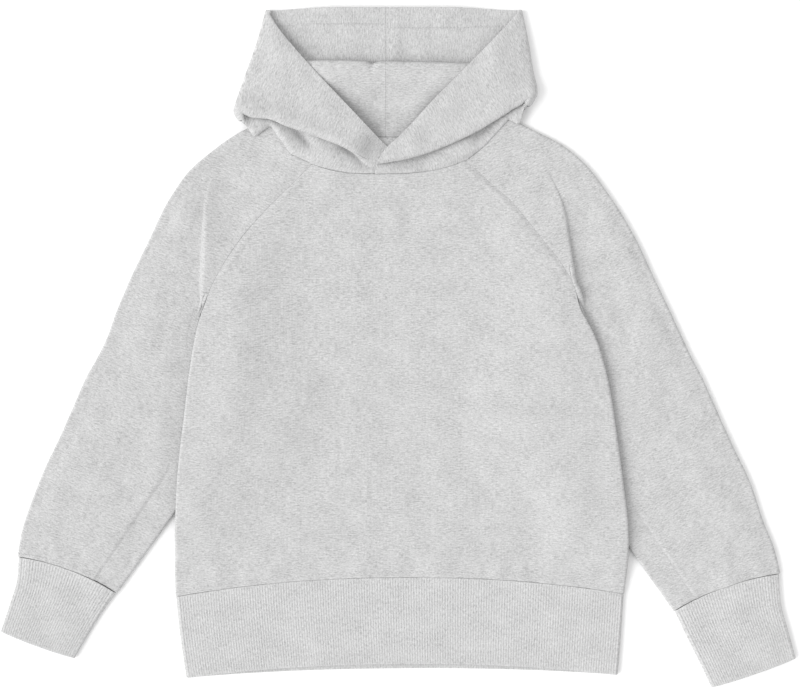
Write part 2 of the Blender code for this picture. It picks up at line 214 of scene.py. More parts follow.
# %% The wall
CLOTH, RIB = 2.0, 2.2                    # thickness of the fleece and of the rib
SEWN_ROUND, FREE_ROUND = 0.22, 1.0       # radius of the rim where cloth is sewn, and where it is folded
STEEP = 0.7                              # share of the height that counts as way along the knitting
ROLL_REACH = 1.5                         # how far from its edge the cloth starts to roll in
RIM_CLOSED = 0.95                        # the two faces nearly meet at the rim


def slope(grid, axis, ring=False):
    """Direction of the cloth along one axis, from the spans on both sides of each point."""
    if ring:
        span = unit(np.roll(grid, -1, axis) - grid)
        return span + np.roll(span, 1, axis)
    span = unit(np.diff(grid, axis=axis))
    first, last = np.take(span, [0], axis), np.take(span, [-1], axis)
    return np.concatenate([first, span], axis) + np.concatenate([span, last], axis)


def reach(grid, axis):
    """Distance along the cloth from its first edge and from its last one."""
    span = np.linalg.norm(np.diff(grid, axis=axis), axis=2)
    start = np.cumsum(np.insert(span, 0, 0, axis=axis), axis=axis)
    return start, np.take(start, [-1], axis) - start


def quads(index, layer, ring):
    """Corners of every face: outside, inside, and the strips that close the edges."""
    a, b, c, d = index[:-1, :-1], index[:-1, 1:], index[1:, 1:], index[1:, :-1]
    faces = [(a, b, c, d), (a + layer, d + layer, c + layer, b + layer)]
    for p, q in ((index[0, 1:], index[0, :-1]), (index[-1, :-1], index[-1, 1:])):
        faces.append((p, q, q + layer, p + layer))
    if not ring:
        for p, q in ((index[:-1, 0], index[1:, 0]), (index[1:, -1], index[:-1, -1])):
            faces.append((p, q, q + layer, p + layer))
    return np.concatenate([np.stack(face, -1).reshape(-1, 4) for face in faces])


print("walls in millimetres: fleece", CLOTH, "and rib", RIB)


# %% Meshes and walls
def add_mesh(name, points, faces, material, uv=None):
    """A smooth mesh object from points in millimetres and four-cornered faces."""
    mesh = bpy.data.meshes.new(name)
    mesh.vertices.add(len(points))
    mesh.vertices.foreach_set("co", (points * MM).astype(np.float32).ravel())
    mesh.loops.add(faces.size)
    mesh.loops.foreach_set("vertex_index", faces.astype(np.int32).ravel())
    mesh.polygons.add(len(faces))
    mesh.polygons.foreach_set("loop_start", np.arange(0, faces.size, 4, dtype=np.int32))
    mesh.update(calc_edges=True)
    mesh.validate()
    mesh.shade_smooth()
    if uv is not None:
        mesh.uv_layers.new(name="cloth").data.foreach_set("uv", uv.astype(np.float32).ravel())
    mesh.materials.append(material)
    piece = bpy.data.objects.new(name, mesh)
    bpy.context.collection.objects.link(piece)
    return piece


def wall(name, grid, thickness, weave, material, ring=False, roll=0.12, rim=SEWN_ROUND, outside=0.0,
         inside=0.0):
    """Cloth round a grid (rows, columns, xyz). `weave` is where each point lies in the knitting,
    and `outside` and `inside` are relief added to the two faces. Returns the piece, its outer
    face and the directions that face looks."""
    rows, columns, _ = grid.shape
    looped = np.concatenate([grid, grid[:, :1]], 1) if ring else grid
    normal = unit(np.cross(slope(grid, 1, ring), slope(grid, 0)))
    edge = np.minimum(*reach(grid, 0))
    if not ring:
        edge = np.minimum(edge, np.minimum(*reach(grid, 1)))
    half = thickness / 2
    thin = 1 - RIM_CLOSED * rim / half * (1 - np.sqrt(1 - (1 - np.clip(edge / rim, 0, 1)) ** 2))
    middle = grid - normal * (roll * np.exp(-(edge / ROLL_REACH) ** 2))[..., None]
    outer = middle + normal * (half * thin + outside)[..., None]
    inner = middle - normal * (half * thin + inside)[..., None]
    layer = rows * columns
    index = np.arange(layer).reshape(rows, columns)
    if ring:
        index = np.hstack([index, index[:, :1]])
    spot = np.arange(looped.shape[0] * looped.shape[1]).reshape(looped.shape[:2])
    corners = quads(spot, 0, ring)
    points = np.concatenate([outer.reshape(-1, 3), inner.reshape(-1, 3)])
    piece = add_mesh(name, points, quads(index, layer, ring), material, weave.reshape(-1, 2)[corners])
    print(f"{name}: {2 * len(corners)} triangles")
    return piece, outer, normal


def knit_plan(grid, heading):
    """Where points lie in the knitting when its courses run at this heading in the plan, in mm.
    Height is added to both, so that the knitting doesn't smear on steep cloth."""
    cos, sin = np.cos(np.radians(heading)), np.sin(np.radians(heading))
    x, y, z = grid[..., 0], grid[..., 1], grid[..., 2]
    return np.stack([x * cos + y * sin + STEEP * z, y * cos - x * sin + STEEP * z], -1)


def cut_of(grid, ring=False):
    """Width, length and area of the flat cut in metres, measured along the cloth."""
    looped = np.concatenate([grid, grid[:, :1]], 1) if ring else grid
    width = reach(looped, 1)[0][:, -1].max()
    length = reach(looped, 0)[0][-1].max()
    a, b = looped[1:, 1:] - looped[:-1, :-1], looped[1:, :-1] - looped[:-1, 1:]
    area = np.linalg.norm(np.cross(a, b), axis=2).sum() / 2
    return width * MM, length * MM, area * MM * MM


square = np.dstack([*np.mgrid[0:101:10.0, 0:101:10.0], np.zeros((11, 11))])
print("a 100 mm square measures, in metres:", cut_of(square))

# %% [markdown]
# ## Heather fleece and rib
# Heather yarn is spun from fibres of several greys, so the knitting shows short streaks, light and
# dark, that run along its courses. The outside of sweatshirt fleece is fine jersey: columns of
# little V stitches. It is matt with a faint halo of loose fibre, which sheen gives.
# The rib is the same yarn, knitted one stitch up and one down.

# %% Sizes of the knitting
STREAK, FINE_STREAK = (4.6, 1.15), (1.7, 0.85)       # along and across the courses of the fleece
RIB_STREAK, RIB_FINE_STREAK = (1.3, 2.6), (0.8, 1.1)  # in the rib the yarn shows as short upright dots
CLOUD = (22.0, 16.0)                     # slow change of tone from one skein of yarn to the next
HAIR = (0.9, 0.7)                        # loose fibres on the surface
WALE, COURSE = 1.25, 1.0                 # jersey stitch, drawn half as large again so that it shows
RIB_PITCH = 2.2                          # one rib and one furrow
# painted shade: the rib's colour is darkened along each furrow, for the shade between its ribs
FURROW_SHADE_PAINTED = 0.035                      # a furrow is in the shade of its ribs


def node(tree, kind, links=None, **settings):
    """Adds a node with its settings. Each input, by name or number, gets a value, a socket, or another
    node, whose first output it takes."""
    made = tree.nodes.new(kind)
    for name, value in settings.items():
        setattr(made, name, value)
    for socket, value in (links or {}).items():
        if isinstance(value, bpy.types.Node):
            value = value.outputs[0]
        if isinstance(value, bpy.types.NodeSocket):
            tree.links.new(value, made.inputs[socket])
        else:
            made.inputs[socket].default_value = value
    return made


print("ribs every", RIB_PITCH, "mm, jersey stitches", WALE, "x", COURSE, "mm")


# %% Heather cloth and thread
def heather(name, dark, middle, light, rib):
    """Heather knit, matt and a little hairy, as jersey-faced fleece or as rib."""
    material = bpy.data.materials.new(name)
    material.use_nodes = True
    tree = material.node_tree
    shader = tree.nodes["Principled BSDF"]
    place = node(tree, "ShaderNodeUVMap", uv_map="cloth")
    u, v, _ = node(tree, "ShaderNodeSeparateXYZ", {0: place}).outputs

    def streaks(size, offset, detail):
        stretch = node(tree, "ShaderNodeMapping", {"Vector": place, "Location": (offset, offset, 0),
                                                   "Scale": (1 / size[0], 1 / size[1], 1)})
        return node(tree, "ShaderNodeTexNoise", {"Vector": stretch, "Scale": 1.0, "Detail": detail,
                                                 "Roughness": 0.6})

    long_size, short_size = (RIB_STREAK, RIB_FINE_STREAK) if rib else (STREAK, FINE_STREAK)
    tones = [(streaks(short_size, 11.7, 1.0), 0.38), (streaks(long_size, 3.1, 2.0), 0.50)]
    # Painted shade: a cosine across the ribs darkens the colour in every furrow.
    if rib:
        turn = node(tree, "ShaderNodeMath", {0: u, 1: 2 * np.pi / RIB_PITCH}, operation="MULTIPLY")
        tones.append((node(tree, "ShaderNodeMath", {0: turn}, operation="COSINE"), FURROW_SHADE_PAINTED))
    tone = node(tree, "ShaderNodeMath", {0: streaks(CLOUD, 5.3, 1.0), 1: 0.12}, operation="MULTIPLY")
    for layer, share in tones:
        tone = node(tree, "ShaderNodeMath", {0: layer, 1: share, 2: tone}, operation="MULTIPLY_ADD")
    ramp = node(tree, "ShaderNodeValToRGB", {0: tone})
    stops = ramp.color_ramp.elements
    stops[0].position, stops[0].color = 0.33, linear(dark)
    stops[1].position, stops[1].color = 0.66, linear(light)
    stops.new(0.49).color = linear(middle)
    # Jersey stitches: each wale is a rounded column, and the V of each course climbs to its middle.
    column = node(tree, "ShaderNodeMath", {0: u, 1: WALE}, operation="DIVIDE")
    wale = node(tree, "ShaderNodeMath", {0: column, 1: 0.5}, operation="PINGPONG")
    course = node(tree, "ShaderNodeMath", {0: v, 1: 1 / COURSE, 2: wale}, operation="MULTIPLY_ADD")
    turn = node(tree, "ShaderNodeMath", {0: course, 1: 2 * np.pi}, operation="MULTIPLY")
    loop = node(tree, "ShaderNodeMath", {0: turn}, operation="SINE")
    relief = streaks(HAIR, 1.9, 2.0)
    for layer, share in ((wale, 0.6), (loop, 0.125)):
        relief = node(tree, "ShaderNodeMath", {0: layer, 1: share, 2: relief}, operation="MULTIPLY_ADD")
    bump = node(tree, "ShaderNodeBump", {"Height": relief, "Strength": 0.55, "Distance": 0.35 * MM})
    tree.links.new(ramp.outputs[0], shader.inputs["Base Color"])
    tree.links.new(bump.outputs[0], shader.inputs["Normal"])
    for socket, value in (("Roughness", 0.95), ("Specular IOR Level", 0.25), ("Sheen Weight", 0.12),
                          ("Sheen Roughness", 0.6)):
        shader.inputs[socket].default_value = value
    return material


def thread(name, colour):
    """Spun polyester sewing thread, a little smoother than the cloth."""
    material = bpy.data.materials.new(name)
    material.use_nodes = True
    tree = material.node_tree
    shader = tree.nodes["Principled BSDF"]
    place = node(tree, "ShaderNodeTexCoord").outputs["Object"]
    ply = node(tree, "ShaderNodeTexNoise", {"Vector": place, "Scale": 1500.0, "Detail": 1.0})
    ramp = node(tree, "ShaderNodeValToRGB", {0: ply})
    ramp.color_ramp.elements[0].color = linear(colour[0])
    ramp.color_ramp.elements[1].color = linear(colour[1])
    tree.links.new(ramp.outputs[0], shader.inputs["Base Color"])
    shader.inputs["Roughness"].default_value = 0.7
    return material


fleece = heather("heather sweatshirt fleece", "#999999", "#B7B7B7", "#CCCCCC", rib=False)
ribbing = heather("heather 1x1 rib knit", "#9B9B9B", "#BABABA", "#CCCCCC", rib=True)
sewing_thread = thread("spun polyester thread", ("#B4B4B4", "#D6D6D6"))
white = bpy.data.materials.new("white paper floor")
white.use_nodes = True
white.node_tree.nodes["Principled BSDF"].inputs["Base Color"].default_value = (0.92, 0.92, 0.92, 1)
white.node_tree.nodes["Principled BSDF"].inputs["Roughness"].default_value = 1.0
print("materials:", [m.name for m in bpy.data.materials])

# %% Floor
FLOOR, FLOOR_GAP = 6000.0, 0.1           # half its width, and how far it lies below the cloth
floor = add_mesh("floor", np.array([(x * FLOOR, y * FLOOR, -FLOOR_GAP)
                                    for x, y in ((-1, -1), (1, -1), (1, 1), (-1, 1))]),
                 np.array([(0, 1, 2, 3)]), white)
print("floor:", 2 * FLOOR * MM, "m wide")

# %% [markdown]
# ## The outlines
# A garment lying flat is a stack of outlines: side folds, raglan seams, the sleeves' two folds and the
# rings of the rib. The CAD model is built on nearly the same curves, so the fine cloth lies within a
# few millimetres of the plain solids.

# %% Outlines of body and sleeves
SEAM = 0.05                              # sewn edges all but touch
LAYER = CLOTH + 0.9                      # the air between soft layers holds them apart
BEND = LAYER / 2                         # radius of a folded edge, to the cloth's middle
BACK_Z = CLOTH / 2
FRONT_Z = BACK_Z + LAYER
STACK = 2 * LAYER + 0.4                  # how far the body rises over a tucked sleeve
BODY_PUFF, SLEEVE_PUFF = 1.0, 1.2
TUCK_RAMP, TUCK_CLEAR = 78.0, 5.0        # how softly the body climbs onto the sleeve, and how early
HEM_ARCH, NECK_DIP, BACK_NECK_DIP = 15.0, 9.5, 9.0
SIGN = {"left": -1, "right": 1}

# Side folds of the body, hem seam to underarm: x, y
SIDE = {
    "left": [(-191.5, -213.5), (-192, -183), (-191, -141), (-189, -105), (-184, -62), (-179, -20),
             (-173.5, 12), (-169, 30)],
    "right": [(194.2, -211), (196.5, -190), (197.5, -168), (191.6, -105), (185.6, -62), (179, -24),
              (168, 11), (157, 31.5)],
}
# Raglan seams on the front and on the back, underarm to neck: x, y
RAGLAN_FRONT = {
    "left": [(-169, 30), (-157, 58), (-139.5, 87), (-115, 116.5), (-91, 140.5), (-74.5, 157)],
    "right": [(157, 31.5), (148, 58), (136, 77), (120, 97), (101, 121), (76, 144), (58, 160)],
}
RAGLAN_BACK = {
    "left": [(-173.5, 12), (-162, 45), (-146, 82), (-126, 118), (-102, 157), (-84, 185)],
    "right": [(168, 11), (153, 45), (138, 82), (117, 118), (90, 157), (69, 187)],
}
# How the sleeve tucks under the body: y, |x| from which the body is lifted, by how much
TUCK = {
    "left": [(-184, 207, 0), (-146, 190, STACK), (-108, 161, STACK), (-80, 142, STACK),
             (-52, 135, STACK), (-29, 141, STACK), (-8, 150, STACK), (17, 158, STACK),
             (55, 156, STACK), (85, 155, 4.2), (120, 156, 1.4), (150, 158, 0)],
    "right": [(-210, 209, 0), (-172, 190, STACK), (-151, 176, STACK), (-109, 146, STACK),
              (-79, 126, STACK), (-53, 119, STACK), (-29, 130, STACK), (-8, 140, STACK),
              (18, 149, STACK), (55, 141, STACK), (85, 136, 4.4), (120, 132, 1.8), (150, 130, 0)],
}
# Sleeve over the raglan, neck to underarm: armpit fold x, y, outer fold x, y
YOKE = {
    "left": [(-95, 169.5, -110.5, 192), (-128, 164, -135, 185.5), (-148, 155, -158, 170),
             (-160, 144, -179, 152), (-164.5, 127, -196, 128), (-166, 99, -212, 96),
             (-167.5, 62, -229, 61), (-169, 30, -242, 31)],
    "right": [(75, 173.8, 95.5, 197), (108, 174, 119, 185), (122, 160, 141, 173.5),
              (132, 143, 161, 157), (141, 121, 183, 128), (146, 90, 204, 93),
              (150.5, 60, 219, 61), (157, 31.5, 233, 32)],
}
# Sleeve below the underarm: inner edge x, y, outer edge x, y
SLEEVE = {
    "left": [(-167, 4, -251, 6), (-157, -12, -259, -10), (-146, -29, -268, -26), (-140, -52, -279, -51),
             (-148, -80, -291, -78), (-167, -108, -303, -103), (-191, -141, -315, -133),
             (-216, -176, -323, -157), (-241, -210.5, -327, -179)],
    "right": [(158, 4, 244, 8), (147, -12, 252, -9), (135, -29, 261, -26), (125, -53, 273, -53),
              (132, -79, 287, -84), (153, -109, 301, -113), (183, -151, 313, -148),
              (212, -192, 323, -173), (236, -226, 328, -193.5)],
}
print("body", STACK + FRONT_Z + CLOTH / 2, "mm high where a sleeve lies under it")

# %% [markdown]
# ## Front and back
# The front is one panel from hem to neck. At its sides it turns down over a side fold to meet the
# back, and at the raglans it stays flat, sewn to the sleeves. Where the sleeves are tucked under, it
# rides up over them. Its folds: a long one down the left side where the body was pulled straight,
# slanting ones under the neck, and gathers above the tighter rib.

# %% Folds of the body
UNDERARM = 11 / 19                       # share of a panel's rows that lies below the underarm
FOLD_ENDS = (9 / 19, 11.6 / 19)          # shares between which the side fold flattens out
RIM_TURNS = np.radians([80, 64, 50, 36, 21, 7])      # stations round a folded edge
TOPSTITCH = 4.2                          # distance of the topstitching from a rib seam
# Folds of the front: x, y, heading, length, width, height
FRONT_FOLDS = [
    (-108, 94, 42, 92, 24, 1.3), (-92, 66, 46, 84, 30, -0.8), (-128, 52, 60, 70, 26, 0.6),
    (74, 104, -58, 92, 22, -1.2), (114, 92, -56, 84, 26, 1.2), (44, 118, -70, 60, 20, 0.7),
    (9, 112, 88, 74, 15, -0.8), (-4, 104, 92, 60, 16, 0.5), (-37, 84, 84, 90, 24, 1.0),
    (-21, 64, 80, 66, 20, -0.7), (-142, -18, 83, 176, 36, 1.4), (-122, -62, 75, 190, 30, -1.2),
    (-150, -118, 66, 90, 22, -0.9), (-96, -96, 82, 110, 34, 0.6), (18, -122, 88, 120, 22, -0.8),
    (50, -146, 80, 96, 28, 0.8), (108, -132, 84, 104, 28, -1.0), (148, -150, 74, 110, 24, 0.7),
    (168, -116, 84, 120, 18, -0.6), (60, 10, 68, 130, 46, 0.5), (-20, -30, 100, 150, 50, -0.5),
    (112, -20, 80, 150, 40, -0.5), (136, 26, 70, 90, 26, 0.6),
]
FRONT_FOLDS += puckers((-184, -208), (-60, -197), 92, 11, 4)
FRONT_FOLDS += puckers((-60, -196), (186, -206), 90, 12, 9)
# Folds that lift the back a little off the floor
BACK_FOLDS = [
    (-60, 60, 40, 90, 26, 0.35), (70, 40, -44, 110, 30, 0.35), (0, -40, 86, 160, 30, 0.3),
    (-110, -90, 78, 120, 26, 0.35), (96, -120, 96, 110, 24, 0.35), (10, 120, 4, 90, 18, 0.3),
]

print("folds placed on the front:", len(FRONT_FOLDS), "and on the back:", len(BACK_FOLDS))


# %% Body panels
def eased(y, table, column):
    """A table's column at heights y, its corners rounded by averaging over a few neighbours."""
    table = np.array(table, float)
    return sum(np.interp(y + d, table[:, 0], table[:, column]) for d in (-9, -5, 0, 5, 9)) / 5


def lift(x, y):
    """Height by which the body rides over the tucked sleeve at (x, y)."""
    sides = [eased(y, TUCK[s], 2) * smooth((np.abs(x) - eased(y, TUCK[s], 1) + TUCK_CLEAR) / TUCK_RAMP + 1)
             for s in SIGN]
    return np.where(x < 0, *sides)


def panel_edge(side, seam, below, above):
    """One edge of a body panel, hem to neck: the side fold, and then the raglan seam."""
    fold = spline([p for p in SIDE[side] if p[1] <= seam[side][0][1]], below)
    raglan = spline(seam[side], above)
    fold[:, 0] -= SIGN[side] * CLOTH / 2
    raglan[:, 0] -= SIGN[side] * (SEAM + (CLOTH - SEAM) * (1 - smooth(above * 8))) / 2
    return np.concatenate([fold, raglan[1:]])


def panel(seam, neck_dip, sense, below, above, across):
    """Plan and turn-down of a body panel; `sense` is -1 if its sides turn down and 1 if up."""
    left, right = (panel_edge(side, seam, below, above) for side in SIGN)
    v = np.concatenate([below * UNDERARM, UNDERARM + above[1:] * (1 - UNDERARM)])
    out = unit(right - left)
    a, b = left + out * BEND, right - out * BEND
    flat = between(a, b, across)
    c = np.abs(2 * across - 1)
    flat[..., 1] += HEM_ARCH * (1 - c**2.2) * (1 - v[:, None]) ** 2
    flat[..., 1] -= neck_dip * (1 - c**3) * v[:, None] ** 3
    rim = BEND * np.cos(RIM_TURNS)[None, :, None] * out[:, None]
    plan = np.concatenate([(a[:, None] - rim)[:, ::-1], flat, b[:, None] + rim], 1)
    turn = BEND * (1 - np.sin(RIM_TURNS))
    turn = np.concatenate([turn[::-1], np.zeros(len(across)), turn])
    fold = 1 - smooth((v - FOLD_ENDS[0]) / (FOLD_ENDS[1] - FOLD_ENDS[0]))
    return plan, sense * turn * fold[:, None]


def body_front():
    """The front panel, with its folds, its puff and a low ridge beside the raglan seams; its wall gets the
    hem's topstitching groove.
    """
    across = stations(176, 330)
    plan, turn = panel(RAGLAN_FRONT, NECK_DIP, -1, stations(104, 245, end=False),
                          stations(64, 150, start=False), across)
    x, y = plan[..., 0], plan[..., 1]
    c = np.concatenate([[-1] * len(RIM_TURNS), 2 * across - 1, [1] * len(RIM_TURNS)])
    free = 1 - np.abs(c) ** 8
    edge = np.minimum(*reach(np.dstack([plan, 0 * x]), 1))
    calm = smooth(edge / 12)
    folds = creases(x, y, FRONT_FOLDS) + 0.35 * waves(x, y, 46, 1) + 0.12 * waves(x, y, 13, 2)
    ridge = 0.45 * np.exp(-((edge - 5.0) / 2.6) ** 2) * smooth((y - 40) / 30)
    z = FRONT_Z + lift(x, y) + BODY_PUFF * free + turn + folds * calm + ridge
    return np.dstack([plan, z])


def body_back():
    """The back panel, flat on the floor but for its turned-up sides and a few shallow folds."""
    across = stations(96, 330)
    plan, turn = panel(RAGLAN_BACK, BACK_NECK_DIP, 1, stations(62, 225, end=False),
                          stations(46, 175, start=False), across)
    x, y = plan[..., 0], plan[..., 1]
    calm = smooth(np.minimum(*reach(np.dstack([plan, 0 * x]), 1)) / 14)
    folds = np.clip(creases(x, y, BACK_FOLDS) * calm, 0, 0.5)
    return np.dstack([plan, BACK_Z + smooth((60 - y) / 28) * lift(x, y) + turn + folds])


def stitch_groove(grid, axis, end, distance):
    """Relief of a row of topstitching: it pulls the outer face in along a line beside the edge."""
    return -0.3 * np.exp(-((reach(grid, axis)[end] - distance) / 0.7) ** 2)


pieces, sheets = {}, {}
front = body_front()
pieces["body_front"] = wall("fleece_front", front, CLOTH, knit_plan(front, 0), fleece,
                            outside=stitch_groove(front, 0, 0, TOPSTITCH))
back = body_back()[:, ::-1]
pieces["body_back"] = wall("fleece_back", back, CLOTH, knit_plan(back, 0), fleece,
                           outside=stitch_groove(back, 0, 0, TOPSTITCH))
sheets.update({"body_front": front, "body_back": back})

# %% [markdown]
# ## Sleeves
# A raglan sleeve is one piece from neck to cuff. Its upper part carries on level from the front, over
# its own tucked layers, drops down a fold in front of the armpit, runs out to the outer fold, and comes
# back underneath.
# On the left the drop is a soft ridge. On the right the cloth folds over itself a little, and shades
# the sleeve. Below the underarm it is a flattened tube, closed along its inner edge.

# %% Folds of the sleeves
OUTER_TURNS = np.radians([78, 60, 42, 25, 8, -8, -25, -42, -60, -78])
MIN_YOKE = 3.2                           # least width of sleeve left above the fold
OFF_BODY = 0.9125                        # share of the raglan after which the sleeve comes off the body
# Drop of the armpit fold: distance out from its edge, share of the height left, and how far the point
# moves where the cloth doubles under itself
STEP = np.array([(-1.0, 1.0, 0), (-0.6, 0.97, 0.2), (-0.25, 0.88, 0.5), (0.0, 0.74, 0.6), (0.2, 0.56, 0.3),
                 (0.4, 0.38, -0.2), (0.65, 0.22, -0.5), (0.95, 0.09, -0.5), (1.4, 0.03, -0.25),
                 (2.0, 0.0, 0)])
STEP_REACH = 2.2                         # the distances above are for a drop of this half width
DROP_REACH = {"left": 4.6, "right": 2.2}             # half width of the drop
OVERHANG = {"left": 0.0, "right": 1.0}
SLEEVE_HEADING = {"left": -17.4, "right": 17.9}     # courses of the sleeves' knitting
CUFF_ARCH = 4.5                          # how far a cuff's seam bows up the arm
SLEEVE_FOLDS = {
    "left": [(-145, 120, -78, 130, 40, -2.0), (-138, 144, -60, 90, 34, -1.0), (-170, 96, 88, 150, 30, 1.2),
             (-186, 116, 70, 80, 22, 0.6),
             (-214, 30, 72, 130, 26, 0.9), (-236, -6, 74, 130, 24, -0.8), (-250, -84, 68, 130, 34, 0.9),
             (-268, -60, 72, 110, 20, -0.7), (-226, -110, 60, 110, 24, -0.7), (-288, -120, 70, 90, 20, 0.6),
             (-250, -160, 58, 70, 22, 0.8), (-205, -60, 80, 110, 24, 0.6), (-112, 168, -40, 50, 16, -0.5)],
    "right": [(120, 150, 40, 60, 20, 0.8), (136, 112, 70, 70, 16, 0.9), (196, 90, -62, 100, 22, 0.8),
              (186, 44, -70, 110, 22, -0.8), (216, -10, -70, 130, 26, 0.8), (236, -44, -66, 120, 24, -0.8),
              (266, -112, -58, 150, 26, 1.3), (250, -140, -56, 110, 22, -0.9), (226, -84, -64, 110, 26, 0.7),
              (288, -150, -70, 90, 20, -0.6), (228, -176, -46, 70, 20, 0.8), (96, 172, 44, 50, 14, -0.5)],
}
SLEEVE_FOLDS["left"] += puckers((-247, -203), (-325, -174), 64, 11, 5)
SLEEVE_FOLDS["left"] += [(-308, -170, 60, 26, 11, -1.1), (-287, -166, 66, 30, 10, -0.8),
                         (-274, -182, 70, 26, 10, -1.1), (-296, -172, 64, 30, 11, 0.9)]
SLEEVE_FOLDS["right"] += puckers((240, -222), (326, -190), 116, 11, 6)
SLEEVE_FOLDS["right"] += [(260, -210, 120, 30, 12, -1.2), (303, -194, 112, 28, 11, -0.9),
                          (284, -200, 116, 34, 12, 0.9)]

print("folds placed on the sleeves:", {side: len(rows) for side, rows in SLEEVE_FOLDS.items()})


# %% Sleeves
def body_edge(x, y):
    """|x| of the body's side fold at height y, on the side that x is on."""
    sides = [np.array(SIDE[name]) for name in SIGN]
    return np.where(x < 0, *(np.interp(y, s[:, 1], np.abs(s[:, 0])) for s in sides))


def sleeve_stations(side, upper, lower):
    """Start, armpit fold, outer fold and under edge of each section, and how much of it lies over
    the body and how much is a closed tube."""
    sign = SIGN[side]
    front = spline(RAGLAN_FRONT[side], 1 - upper) + (sign * SEAM / 2, 0)
    rear = spline(RAGLAN_BACK[side], 1 - upper) + (sign * SEAM / 2, 0)
    yoke = spline(YOKE[side], upper)
    tube = [(front[-1, 0] + sign * 1.5, front[-1, 1], *yoke[-1, 2:4], *rear[-1])]
    tube = spline(tube + [(*row, *row[:2]) for row in SLEEVE[side]], lower[1:])
    inner, outer, under = tube[:, :2], tube[:, 2:4], tube[:, 4:]
    fold = inner + (outer - inner) * np.minimum(0.06 + 0.6 * lower[1:, None], 0.2)
    over = 1 - smooth((upper - OFF_BODY) / (1 - OFF_BODY))
    return (np.concatenate([front, inner]), np.concatenate([yoke[:, :2], fold]),
            np.concatenate([yoke[:, 2:4], outer]), np.concatenate([rear, under]),
            np.concatenate([over, 0 * inner[:, 0]]), np.concatenate([0 * upper, smooth(lower[1:] * 14)]))


def sleeve_grid(side):
    """Every section: inner rim, yoke, armpit fold, sleeve, outer fold, underside and inner rim."""
    start, fold, outer, under, over, tube = sleeve_stations(
        side, stations(60, 190, end=False), stations(112, 265, start=False))
    out = unit(outer - start)
    far = np.linalg.norm(fold - start, axis=1, keepdims=True)
    fold = np.where(far < MIN_YOKE, start + out * MIN_YOKE, fold)
    out = unit(outer - fold)
    rim = outer - out * (BEND + CLOTH / 2)
    shy = np.minimum(DROP_REACH[side], 0.5 * np.linalg.norm(fold - start, axis=1))[:, None]
    edge = (tube * CLOTH / 2)[:, None]
    near, off = start + out * (BEND + edge), out[:, None] * BEND
    cos, turned = np.cos(RIM_TURNS)[None, :, None], 1 - np.sin(RIM_TURNS)
    yoke = between(near, fold - out * shy, np.linspace(0, 1, 22))
    x, y = yoke[..., 0], yoke[..., 1]
    on_body = lift(x, y) * over[:, None]
    top = on_body[:, -1:]
    spread = (STEP[:, 0] / STEP_REACH)[None, :, None] * shy[:, None]
    lean = OVERHANG[side] * smooth((top - 2.5) / 3)[..., None] * STEP[None, :, 2:]
    drop = fold[:, None] + out[:, None] * (spread + lean)
    face = between(fold + out * shy * STEP[-1, 0] / STEP_REACH, rim,
                   stations(58, 70, start=False, end=False)[1:])
    turn = rim[:, None] + off * np.cos(OUTER_TURNS)[None, :, None]
    inward = unit(rim - under)
    last = under + inward * (BEND + edge)
    below = between(rim, last, np.linspace(0, 1, 26))
    flat = [near[:, None] - (off * cos)[:, ::-1], yoke, drop, face, turn, below,
            last[:, None] - inward[:, None] * BEND * cos]
    clear = (smooth((np.abs(face[..., 0]) - body_edge(face[..., 0], face[..., 1])) / 22)
             * smooth(np.linalg.norm(face - rim[:, None], axis=2) / 18))
    middle = BACK_Z + BEND
    heights = [FRONT_Z + on_body[:, :1] - BEND * turned[::-1] * tube[:, None], FRONT_Z + on_body,
               FRONT_Z + top * STEP[:, 1], FRONT_Z + SLEEVE_PUFF * clear,
               np.broadcast_to(middle + BEND * np.sin(OUTER_TURNS), turn.shape[:2]),
               np.full(below.shape[:2], BACK_Z), BACK_Z + BEND * turned * tube[:, None]]
    grid = np.dstack([np.concatenate(flat, 1), np.concatenate(heights, 1)])
    return grid, len(RIM_TURNS) + yoke.shape[1] + len(STEP) + face.shape[1]


def bow_to_cuff(side, grid):
    """Moves the cuff end up the arm, most in its middle and less with distance from the seam."""
    a, b = np.array(SLEEVE[side][-1], float).reshape(2, 2)
    out = unit(b - a)
    share = np.clip(((grid[..., :2] - a) @ out - BEND) / (np.linalg.norm(b - a) - 2 * BEND), 0, 1)
    bow = CUFF_ARCH * (1 - np.abs(2 * share - 1) ** 2.2) * np.exp(-(reach(grid, 0)[1] / 34) ** 2)
    grid[..., :2] += bow[..., None] * np.array([-out[1], out[0]]) * SIGN[side]


def sleeve(side):
    """A sleeve with its folds on the upper layer, calmed near the folded edges and under the body."""
    grid, top = sleeve_grid(side)
    bow_to_cuff(side, grid)
    x, y = grid[:, :top, 0], grid[:, :top, 1]
    edge = np.minimum(*reach(grid[:, :top], 1))
    seen = smooth((np.abs(x) - body_edge(x, y) + 4) / 14) * (y < 31) + (y >= 31)
    folds = (creases(x, y, SLEEVE_FOLDS[side]) + 0.35 * waves(x, y, 40, 7 + len(side))
             + 0.12 * waves(x, y, 12, 3))
    grid[:, :top, 2] += folds * smooth(edge / 10) * seen
    return grid[:, ::-1] if side == "right" else grid


for side in SIGN:
    name, grid = "sleeve_" + side, sleeve(side)
    pieces[name] = wall("fleece_" + name, grid, CLOTH, knit_plan(grid, SLEEVE_HEADING[side]), fleece,
                        outside=stitch_groove(grid, 0, 1, TOPSTITCH))
    sheets[name] = grid

# %% [markdown]
# ## Hood
# Two sides are joined by a seam down the middle of the back of the head. Lying up and open, the hood
# is a flat sack: its lining side rests on the floor behind, and the front edges fold over into two
# flaps that cross at the throat. At its foot it slouches: the cloth rises from the neck seam, tucks
# under itself, turns, and goes on as the flap, which leaves a shaded hollow along the neck. Inside,
# the spare height of the back lies in one pleat, straight across.

